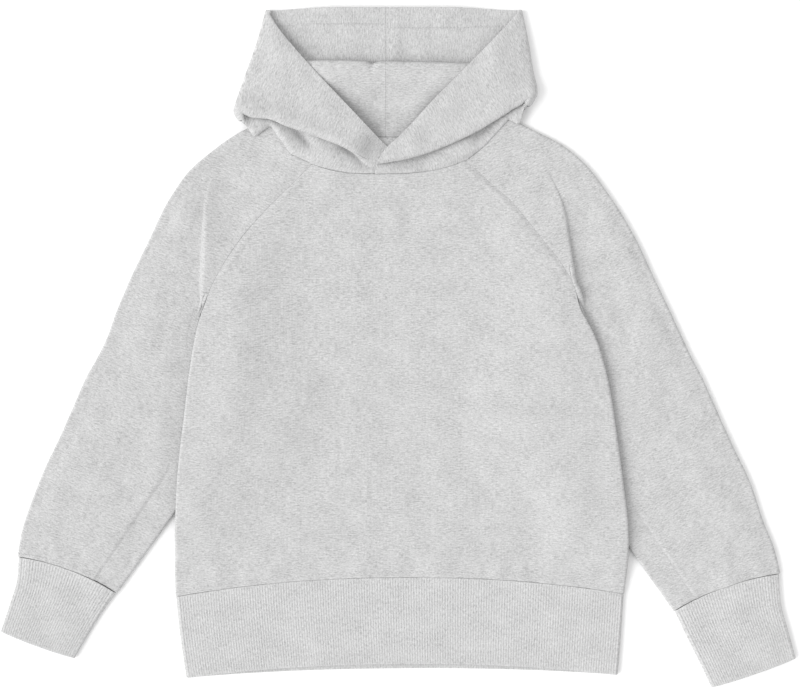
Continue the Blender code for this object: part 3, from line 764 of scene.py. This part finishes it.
# %% Lines and folds of the hood
# Where the hood leaves the neck seam and where it slouches over itself, throat to outer fold:
# neck x, neck y, fold x, fold y
HOOD_NECK = {
    "left": [(4, 151, 4, 161), (-20, 152, -20, 160), (-46, 153, -48, 173.5), (-76, 161.5, -77, 184.5),
             (-92.5, 170.5, -97, 191), (-109.5, 190, -112, 196), (-116, 186, -120, 197),
             (-122.7, 181.2, -127, 198), (-129, 188.5, -132.5, 200), (-134, 194.5, -136.5, 202)],
    "right": [(-20, 152, -18.5, 158), (8, 151.2, 12, 164), (34, 153.5, 42, 175), (57, 162, 68, 187.5),
              (74.5, 175.6, 84, 197), (88.5, 189, 95, 203.5), (96, 195, 101, 207.5), (103, 191.5, 107, 211),
              (106.5, 200, 111, 214), (110, 207, 114, 216)],
}
# Edge of the flap from the crossing to the top corner, and the outer fold from tail to corner: x, y
FLAP_EDGE = {
    "left": [(4, 161), (-10.6, 174), (-48.8, 213), (-80.5, 247), (-104, 275.5), (-112, 288)],
    "right": [(-18.5, 158), (-10.6, 170), (-0.3, 179.5), (33, 215), (63, 245), (91, 274), (104, 288)],
}
HOOD_FOLD = {
    "left": [(-137, 196.5), (-141.3, 202.5), (-140, 208), (-132.7, 230), (-121.5, 262), (-114, 289.5)],
    "right": [(113.5, 209), (119.3, 216.5), (119.3, 222), (116.5, 235), (112, 262), (106.5, 289.5)],
}
CENTRE_SEAM, BACK_NECK, CROWN = -10.6, 181.0, 292.0
FLAP_FOOT = 0.075                        # share of the hood's height at which the flap begins
FLAP_LEAST = 1.6                         # what is left of the flap at the top corner
# The slouch, up from the neck seam: share of height, height over the floor, way to the fold where it
# slouches and where it lies flat
SLOUCH = np.array([
    (0.000, 4.7, 0.00, 0.00), (0.012, 6.6, 0.24, 0.12), (0.026, 6.7, 0.66, 0.27),
    (0.036, 5.4, 1.02, 0.40), (0.043, 5.2, 1.28, 0.50), (0.050, 6.4, 1.42, 0.60),
    (0.056, 7.9, 1.28, 0.68), (0.062, 8.8, 1.06, 0.77), (0.068, 10.4, 0.95, 0.88),
    (0.075, 11.9, 1.00, 1.00)])
# The pleat across the inside: share of height, share of the pleat's height, how far it leans up
PLEAT = [(0, 0, 0), (0.12, 0.08, 0), (0.30, 0.36, 0), (0.44, 0.80, 0), (0.515, 0.98, 0), (0.532, 1.0, 0.8),
         (0.540, 0.90, 1.9), (0.543, 0.70, 2.2), (0.546, 0.40, 1.0), (0.552, 0.12, -0.9),
         (0.57, 0.0, -0.7), (0.66, 0.0, 0), (0.8, 0.10, 0), (1, 0.30, 0)]
PLEAT_HEIGHT = 9.5
PLEAT_SLANT = 0.02                       # how much the pleat falls to the right
HOOD_HEM = 14.0                          # depth of the hem along the opening
HEM_PAD = 0.5                            # what its second layer adds
# Folds of the hood, in the same columns as those of the front
LINING_FOLDS = [
    (-2, 263, 86, 62, 9, 1.0), (-15, 266, 95, 56, 9, -0.5), (7, 259, 84, 50, 8, -0.5),
    (-42, 262, 98, 44, 16, 0.6), (36, 264, 82, 50, 18, 0.6), (72, 262, 64, 40, 16, 0.5),
    (-22.5, 241, 90, 16, 5, -3.0), (-16, 207, 4, 70, 9, 0.6), (-20, 219, 8, 90, 11, 0.5),
    (8, 193, 24, 56, 9, 0.6), (-4, 186, 2, 50, 6, 0.6), (27, 222, 44, 72, 17, 2.2),
    (-50, 228, -16, 60, 12, 0.4), (-6, 199, 8, 60, 8, -0.4),
]
FLAP_FOLDS = {
    "left": [(-104, 232, 58, 80, 26, 0.7), (-78, 208, -36, 90, 24, -0.5), (-120, 246, 70, 70, 18, -0.5),
             (-46, 186, -42, 80, 18, 0.6), (-128, 206, 10, 40, 12, 0.5), (-92, 196, -24, 50, 14, 0.6)],
    "right": [(86, 236, -66, 90, 24, 0.8), (60, 214, 44, 100, 22, -0.5), (102, 250, -72, 80, 18, -0.6),
              (28, 192, 44, 90, 18, 0.6), (98, 220, 30, 50, 14, 0.6)],
}
SLOUCH_FOLDS = {
    "left": [(-81, 180, -45, 36, 9, -4.4), (-34, 167, -27, 54, 12, -3.4), (-58, 163, -35, 46, 9, 0.7),
             (-99, 181, -62, 26, 8, 0.7)],
    "right": [(74, 187, 42, 40, 14, -4.4), (16, 162, 24, 52, 13, -3.4), (46, 161, 30, 50, 9, 0.6)],
}
OVER_SHOULDER = 1.4                      # extra height where the hood passes over the shoulder
NECK_GROOVE = 0.35                       # the thick neck seam draws the hood this far off its neighbours
FLAP_HEADING = {"left": 68.0, "right": 112.0}
# The neck seam, left to right, as the upper edges of the sleeves and of the front draw it
NECK_LINE = np.concatenate([sheets["sleeve_left"][0], front[-1], sheets["sleeve_right"][0]])
NECK_LINE = NECK_LINE[NECK_LINE[:, 2] > BACK_Z + BEND]
NECK_LINE = NECK_LINE[np.argsort(NECK_LINE[:, 0]), :2]

print("neck seam:", round(np.linalg.norm(np.diff(NECK_LINE, axis=0), axis=1).sum()), "mm long in front")


# %% Slouch and flap
def slouch_height(side, x, y, z):
    """Where the two sides cross, the left lies flat and the right passes over it."""
    if side == "left":
        return z + (3.8 - z) * smooth((46 - np.hypot(x + 2, y - 154)) / 24)
    return z + 1.6 * smooth((26 - x) / 16) * smooth((190 - y) / 14)


def flap_rows(side, shares, u):
    """Plan and height of the flap: from its slouched foot up to the crown, lowest at the crown."""
    sign = SIGN[side]
    v = np.clip((shares - FLAP_FOOT) / (1 - FLAP_FOOT), 0, 1)[:, None]
    neck = spline(HOOD_NECK[side], u)
    top = 12.9 - 1.3 * smooth(v * 4) - 6.8 * v**3 - 4.2 * u**3 * (1 - v**4) * smooth(v * 4)
    top = top - np.exp(-v / 0.03)
    outer = spline(HOOD_FOLD[side], shares)
    rim = outer.copy()
    rim[:, 0] -= sign * ((top[:, -1] - BACK_Z) / 2 + CLOTH / 2)
    edge = spline(FLAP_EDGE[side], v[:, 0])
    edge[:, 0] = sign * np.minimum(sign * edge[:, 0], sign * rim[:, 0] - FLAP_LEAST)
    bow = neck[:, 2:] - (neck[:1, 2:] * (1 - u[:, None]) + neck[-1:, 2:] * u[:, None])
    plan = between(edge, rim, u) + bow * (1 - v[..., None]) ** 2
    return plan, slouch_height(side, plan[..., 0], plan[..., 1], top), rim


def slouch_rows(side, shares, u):
    """The rows below the flap, which rise from the neck seam and turn under it."""
    neck = spline(HOOD_NECK[side], u)
    plan, top, _ = flap_rows(side, np.full(1, FLAP_FOOT), u)
    low, inside, outside = cubic(SLOUCH[:, 1:], SLOUCH[:, 0], shares).T[..., None]
    sewn = (neck[:, 0] > NECK_LINE[0, 0]) & (neck[:, 0] < NECK_LINE[-1, 0])
    neck[sewn, 1] = np.interp(neck[sewn, 0], *NECK_LINE.T) + NECK_GROOVE
    beyond = np.maximum(NECK_LINE[0, 0] - neck[:, 0], neck[:, 0] - NECK_LINE[-1, 0])
    outer_end = smooth((u - 0.93) / 0.07)
    flat = smooth((46 - np.hypot(neck[:, 0] + 2, neck[:, 1] - 154)) / 24) * (side == "left")
    climb = (inside + (outside - inside) * np.maximum(outer_end, flat))[..., None]
    rows = neck[:, :2] + (plan[0] - neck[:, :2]) * climb
    low = low + OVER_SHOULDER * smooth(beyond / 6) * (1 - smooth((shares[:, None] - 0.04) / 0.03))
    low = low + (top[0] - low) * np.maximum(outer_end, smooth((shares[:, None] - 0.07) / 0.005))
    rows[:, -1, 0] = (spline(HOOD_FOLD[side], shares)[:, 0]
                      - SIGN[side] * ((low[:, -1] - BACK_Z) / 2 + CLOTH / 2))
    return rows, slouch_height(side, rows[..., 0], rows[..., 1], low)


print("flap starts", round(FLAP_FOOT * (CROWN - BACK_NECK), 1), "mm up from the neck seam")


# %% Hood sides
def hood_grid(side):
    """A side of the hood: slouch and flap in front, the outer fold, and the back to its seam."""
    sign = SIGN[side]
    shares = np.concatenate([np.linspace(0, FLAP_FOOT, 30)[:-1], np.linspace(FLAP_FOOT, 0.51, 40)[:-1],
                             np.linspace(0.51, 0.58, 22)[:-1], 0.58 + 0.42 * stations(34, 47, start=False)])
    low = shares < FLAP_FOOT
    u = stations(62, 130, end=False)
    plan, height, rim = flap_rows(side, shares, u)
    plan[low], height[low] = slouch_rows(side, shares[low], u)
    radius = ((height[:, -1] - BACK_Z) / 2)[:, None]
    cos, sin = np.cos(OUTER_TURNS), np.sin(OUTER_TURNS)
    end = plan[:, -1]
    turn = np.stack([end[:, :1] + sign * radius * cos, np.repeat(end[:, 1:], len(cos), 1)], -1)
    w = stations(56, 120, start=False)
    foot = np.stack([np.full(len(shares), CENTRE_SEAM + sign * SEAM / 2),
                     BACK_NECK + shares * (CROWN - BACK_NECK)], -1)
    back = between(end, foot, w)
    back[..., 1] = end[:, 1:] + (foot - end)[:, 1:] * smooth(w * 1.9)
    pleat = np.array(PLEAT)
    share, lean = cubic(pleat[:, 1:], pleat[:, 0], shares).T[..., None]
    across = smooth(w * 2.2 - 0.3)
    share = np.maximum(share, 0)
    dip = PLEAT_SLANT * (back[..., 0] - CENTRE_SEAM) + 2.4 * np.exp(-((back[..., 0] + 22.5) / 4) ** 2)
    back[..., 1] += 1.5 * lean * across - dip * np.exp(-((shares[:, None] - 0.545) / 0.06) ** 2)
    lining = BACK_Z + PLEAT_HEIGHT * share * across
    x, y = back[..., 0], back[..., 1]
    calm = smooth(np.minimum(*reach(np.dstack([back, 0 * x]), 1)) / 9)
    lining += np.maximum(creases(x, y, LINING_FOLDS) * np.maximum(calm, smooth(w * 3 - 2)), -0.9 * share)
    lining += 0.35 * np.abs(waves(x, y, 26, 8)) * calm * smooth(w * 3)
    x, y = plan[..., 0], plan[..., 1]
    edge = np.minimum(*reach(np.dstack([plan, 0 * x]), 1))
    upper = smooth((shares - 0.036) / 0.02)[:, None]
    folds = creases(x, y, SLOUCH_FOLDS[side]) * (1 - upper) + creases(x, y, FLAP_FOLDS[side]) * upper
    folds += 0.35 * waves(x, y, 34, 5) + 0.1 * waves(x, y, 11, 6)
    settle = smooth((shares - 0.002) / 0.014)[:, None] * smooth(edge / 9)
    height = height + folds * settle
    grid = np.concatenate([np.dstack([plan, height]),
                           np.dstack([turn, BACK_Z + radius + radius * sin]),
                           np.dstack([back, lining])], 1)
    return grid, len(u) + len(cos), shares


def hood_weave(side, grid, flap, shares):
    """Courses slant on the flap, run level inside below the pleat, and upright above it."""
    weave = knit_plan(grid, FLAP_HEADING[side])
    weave[:, flap:] = knit_plan(grid[:, flap:], 0)
    above = shares > 0.543
    weave[above, flap:] = knit_plan(grid[above, flap:], 90)
    return weave


for side in SIGN:
    grid, flap, shares = hood_grid(side)
    weave = hood_weave(side, grid, flap, shares)
    crown = reach(grid, 0)[1]
    hem = HEM_PAD * (1 - smooth((crown - HOOD_HEM) / 0.8 + 0.5))
    hem[:, :flap] = 0
    if side == "left":
        grid, weave, hem = grid[:, ::-1], weave[:, ::-1], hem[:, ::-1]
    pieces["hood_" + side] = wall("fleece_hood_" + side, grid, CLOTH, weave, fleece, inside=hem)
    sheets["hood_" + side] = grid

# %% [markdown]
# ## Rib hem and cuffs
# 1x1 rib is a row of upright ridges, one stitch wide, with furrows between. Each band is a ring of
# rib, lying flat, that narrows towards its edge. It is folded double on the real garment, which one
# thicker wall stands for. The ribs are real relief here, because they catch the light at every turn.

# %% Lines and folds of the rib
RIB_COLUMNS = 4                          # columns of the grid for each rib
RIB_RELIEF = 0.20                        # half the depth of a furrow
RIM_STATIONS = np.radians(np.linspace(84, -84, 9))
# Rings of the cuffs, seam to edge: inner x, y, outer x, y
CUFF = {
    "left": [(-242.2, -210.5, -325.9, -179.5), (-254, -227, -327.5, -200), (-266.5, -247, -334.5, -223),
             (-278, -267, -341.5, -244)],
    "right": [(237.1, -225.8, 327, -194), (248.5, -250, 329, -221), (259.5, -272, 335, -243),
              (269, -292, 341.5, -267)],
}
# Rings of the hem band, seam to edge: left x, y, right x, y, front arch, back arch
HEM = [
    (-190.8, -213.6, 193.6, -211.1, 15, 15),
    (-188.5, -237, 192.2, -233, 14, 13),
    (-185.5, -260, 190.5, -257, 12.5, 10),
    (-182, -283.5, 188.5, -281, 10.5, 6.5),
]
HEM_FOLDS = [(-150, -250, 80, 70, 30, 0.5), (-60, -246, 96, 70, 40, 0.4), (40, -244, 84, 66, 36, 0.4),
             (132, -250, 98, 70, 34, 0.5), (178, -246, 86, 60, 16, -0.4), (-130, -276, 4, 120, 9, 0.7)]
CUFF_ARCHES = [(CUFF_ARCH, CUFF_ARCH), (2.5, 2.5), (0.5, 0.5), (-1.2, -1.2)]
CUFF_FOLDS = {
    "left": [(-290, -216, 62, 56, 22, 0.7), (-268, -218, 54, 50, 18, -0.5), (-310, -214, 70, 50, 18, -0.4)],
    "right": [(290, -236, 116, 56, 22, 0.7), (266, -240, 122, 52, 18, -0.5), (312, -226, 110, 50, 18, -0.4)],
}

print("hem band:", HEM[0][2] - HEM[0][0], "mm wide at its seam and", HEM[-1][2] - HEM[-1][0], "at its edge")


# %% Rib bands
def ring(rows, columns, folds, puff):
    """A flattened ring of rib, edge to seam: front layer left to right, round, and back below.
    Its front layer swells by `puff` at the seam, to meet the cloth that it is sewn to."""
    left, right, arches = rows[:, :2], rows[:, 2:4], rows[:, 4:]
    out = unit(right - left)
    up = np.stack([-out[:, 1], out[:, 0]], -1)
    a, b = left + out * (BEND + RIB / 2), right - out * (BEND + RIB / 2)
    u = np.linspace(0, 1, columns)
    arch = (1 - np.abs(2 * u - 1) ** 2.2)[None, :, None]
    layers = [between(a, b, u) + arch * arches[:, None, k:k + 1] * up[:, None] for k in (0, 1)]
    cos, sin = BEND * np.cos(RIM_STATIONS), BEND * np.sin(RIM_STATIONS)
    turns = [b[:, None] + out[:, None] * cos[None, :, None],
             a[:, None] - out[:, None] * cos[None, ::-1, None]]
    middle = RIB / 2 + BEND
    x, y = layers[0][..., 0], layers[0][..., 1]
    swell = puff * np.exp(-reach(np.dstack([x, y]), 0)[1] / 24)
    rise = (swell + creases(x, y, folds) + 0.25 * waves(x, y, 40, 12)) * smooth(np.minimum(u, 1 - u) * 12)
    heights = [middle + BEND + rise, np.tile(middle + sin, (len(rows), 1)),
               np.full(x.shape, middle - BEND), np.tile(middle + sin[::-1], (len(rows), 1))]
    plans = [layers[0], turns[0], layers[1][:, ::-1], turns[1]]
    return np.concatenate([np.dstack(part) for part in zip(plans, heights)], 1)


def rib_band(name, table, width, rows, folds, puff):
    """A ring with ribs: whole ribs are fitted round it, so that they meet where it closes."""
    columns = int(RIB_COLUMNS * round(width / RIB_PITCH))
    table = np.array([(*row, *arch)[:6] for row, arch in zip(table, CUFF_ARCHES)], float)
    grid = ring(spline(table, stations(rows, 72))[::-1], columns, folds, puff)
    looped = np.concatenate([grid, grid[:, :1]], 1)
    round_ring = reach(looped, 1)[0]
    whole = round_ring[:, -1:] / RIB_PITCH
    ribs = np.round(whole.mean())
    turn = round_ring / round_ring[:, -1:] * ribs
    relief = RIB_RELIEF * (np.cos(2 * np.pi * turn[:, :-1]) - 1)
    height = reach(looped, 0)[0]
    relief *= smooth(np.minimum(*reach(grid, 0)) / 2.2)
    weave = np.stack([turn * RIB_PITCH, height], -1)
    rim = np.where(reach(grid, 0)[1] < 5, SEWN_ROUND, FREE_ROUND)
    return wall(name, grid, RIB, weave, ribbing, ring=True, rim=rim, outside=relief, roll=0.1), grid


pieces["hem_band"], sheets["hem_band"] = rib_band("rib_hem_band", HEM, 385, 26, HEM_FOLDS, BODY_PUFF)
for side in SIGN:
    table = [(*row[2:], *row[:2]) if side == "left" else row for row in CUFF[side]]
    pieces["cuff_" + side], sheets["cuff_" + side] = rib_band("rib_cuff_" + side, table, 88, 30,
                                                              CUFF_FOLDS[side], SLEEVE_PUFF)

# %% [markdown]
# ## Sewing
# Topstitching holds the seam allowances of the rib down: a row of stitches about 3 mm long runs
# beside each rib seam, and another holds the hood's hem. A stitch is a short rod of thread that dives
# into the cloth at both ends. Inside the back of the neck the allowances of hood and back are turned
# down together and show as a narrow lip.

# %% Stitches and the neck's turned-down lip
STITCH_PITCH, STITCH_LENGTH, THREAD = 3.0, 2.3, 0.28
ROD_ALONG = np.array([-0.5, -0.28, 0.28, 0.5])       # rings of a stitch, in its own lengths
ROD_WIDE = np.array([0.4, 1.0, 1.0, 0.4])            # and their size, in thread radii
ROD_RISE = np.array([-0.9, 0.35, 0.35, -0.9])
LIP = {"from": -58.0, "to": 42.0, "width": 10.5, "thickness": 1.1, "height": 2.75}


def rod_faces():
    """Faces of one stitch: three bands of four, and its two ends."""
    spot = np.arange(16).reshape(4, 4)
    nearby = np.roll(spot, -1, 1)
    bands = np.stack([spot[:-1], nearby[:-1], nearby[1:], spot[1:]], -1).reshape(-1, 4)
    return np.concatenate([bands, spot[:1, ::-1], spot[-1:]])


def stitches(name, path, up):
    """Stitches along a path on the cloth, lying in the direction of the path, upright to `up`."""
    gone = np.insert(np.cumsum(np.linalg.norm(np.diff(path, axis=0), axis=1)), 0, 0)
    at = np.arange(STITCH_PITCH / 2, gone[-1], STITCH_PITCH)
    centre, up, ahead = (np.stack([np.interp(at + d, gone, p[:, k]) for k in range(3)], -1)
                         for p, d in ((path, 0), (up, 0), (path, STITCH_PITCH / 3)))
    along, up = unit(ahead - centre), unit(up)
    side = np.cross(up, along)
    angle = np.pi / 4 + np.arange(4) * np.pi / 2
    wide = ROD_WIDE[:, None] * THREAD
    offsets = [(np.repeat(ROD_ALONG[:, None] * STITCH_LENGTH, 4, 1), along), (wide * np.cos(angle), side),
               (wide * np.sin(angle) + ROD_RISE[:, None] * THREAD, up)]
    points = centre[:, None] + sum(size.reshape(1, 16, 1) * way[:, None] for size, way in offsets)
    faces = rod_faces()[None] + 16 * np.arange(len(at))[:, None, None]
    return add_mesh(name, points.reshape(-1, 3), faces.reshape(-1, 4), sewing_thread)


def topstitch(name, piece, axis_end, distance, inside=False):
    """A row of stitches on a piece's outer or inner face, at a distance from its first or last row."""
    _, outer, up = pieces[piece]
    row = np.argmin(np.abs(reach(outer, 0)[axis_end][:, outer.shape[1] // 2] - distance))
    if inside:
        return stitches(name, (outer - up * (CLOTH + HEM_PAD))[row, inside], -up[row, inside])
    return stitches(name, outer[row], up[row])


sewing = [topstitch("stitches_hem_front", "body_front", 0, TOPSTITCH),
          topstitch("stitches_hem_back", "body_back", 0, TOPSTITCH)]
for side in SIGN:
    sewing.append(topstitch("stitches_cuff_" + side, "sleeve_" + side, 1, TOPSTITCH))
    columns = slice(4, 52) if side == "left" else slice(-52, -4)
    sewing.append(topstitch("stitches_hood_" + side, "hood_" + side, 1, HOOD_HEM - 1.2, inside=columns))


def neck_lip():
    """A narrow strip along the back neck seam, its middle a little higher than its edges."""
    x = np.linspace(LIP["from"], LIP["to"], 70)
    c = np.abs((x - CENTRE_SEAM + 3) / 76)
    y = BACK_NECK - 5.7 + BACK_NECK_DIP * c**3
    across = np.linspace(0, 1, 26)
    line = np.stack([x, y], -1)[None] + np.stack([0 * across, (across - 0.5) * LIP["width"]], -1)[:, None]
    rise = 0.35 * np.sin(np.pi * across)[:, None] + 0.12 * waves(line[..., 0], line[..., 1], 12, 3)
    return np.dstack([line, LIP["height"] + rise])


lip = neck_lip()
sheets["neck_lip"] = lip
pieces["neck_lip"] = wall("fleece_neck_lip", lip, LIP["thickness"], knit_plan(lip, 0), fleece, roll=0.2)
print("stitched rows:", [piece.name for piece in sewing])

# %% [markdown]
# ## Cloth, and what lies on what
# Every piece is a sheet cut from flat cloth, so each says the size of its cut, measured along the
# finished cloth. None of them moves on its own: a garment lying flat is one body.

RINGS = ("hem_band", "cuff_left", "cuff_right")
LIES_ON = {"body_front": ["body_back"], "neck_lip": ["body_back"], "body_back": [floor],
           "hem_band": [floor], "cuff_left": [floor], "cuff_right": [floor]}
WITH = {"body_front": ["stitches_hem_front"], "body_back": ["stitches_hem_back"]}
for side in SIGN:
    LIES_ON["sleeve_" + side] = LIES_ON["hood_" + side] = [floor]
    WITH["sleeve_" + side], WITH["hood_" + side] = ["stitches_cuff_" + side], ["stitches_hood_" + side]

for name, (piece, _, _) in pieces.items():
    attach(piece, "root")
    if name != "neck_lip":
        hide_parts(name)
    width, length, area = cut_of(sheets[name], ring=name in RINGS)
    print(f"{name}: cut {1000 * width:.0f} x {1000 * length:.0f} mm, {10000 * area:.0f} square cm")
for piece in sewing:
    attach(piece, "root")
